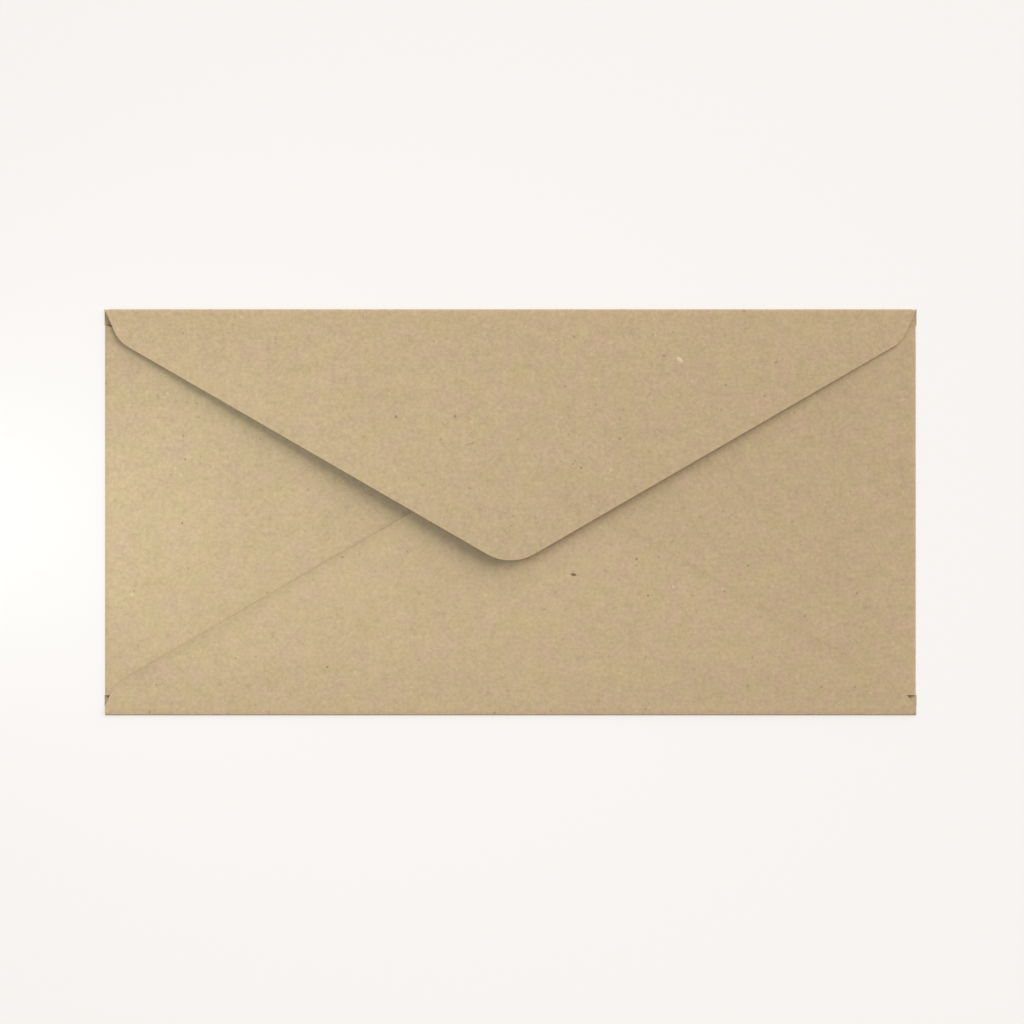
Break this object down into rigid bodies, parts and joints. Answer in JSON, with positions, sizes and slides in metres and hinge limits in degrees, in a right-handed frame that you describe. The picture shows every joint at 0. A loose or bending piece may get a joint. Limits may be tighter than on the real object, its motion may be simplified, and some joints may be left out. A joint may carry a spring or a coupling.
{
  "type": "paper envelope",
  "caption": "Long kraft paper envelope for a sheet folded in three, with a deep pointed flap folded down but not sealed.",
  "frame": {"origin": "centre of the envelope's outline, on the outside of the plain front panel that it lies on", "axes": "+X along the envelope, +Y towards the fold of the top flap, +Z out of the front panel towards the flap side"},
  "size_m": [0.22, 0.11, 0.0044],
  "materials": {
    "kraft_paper": "matt uncoated recycled kraft, light brown with fine fibres and flecks"
  },
  "bodies": {
    "root": {"envelope": "kraft_paper"}
  },
  "joints": []
}
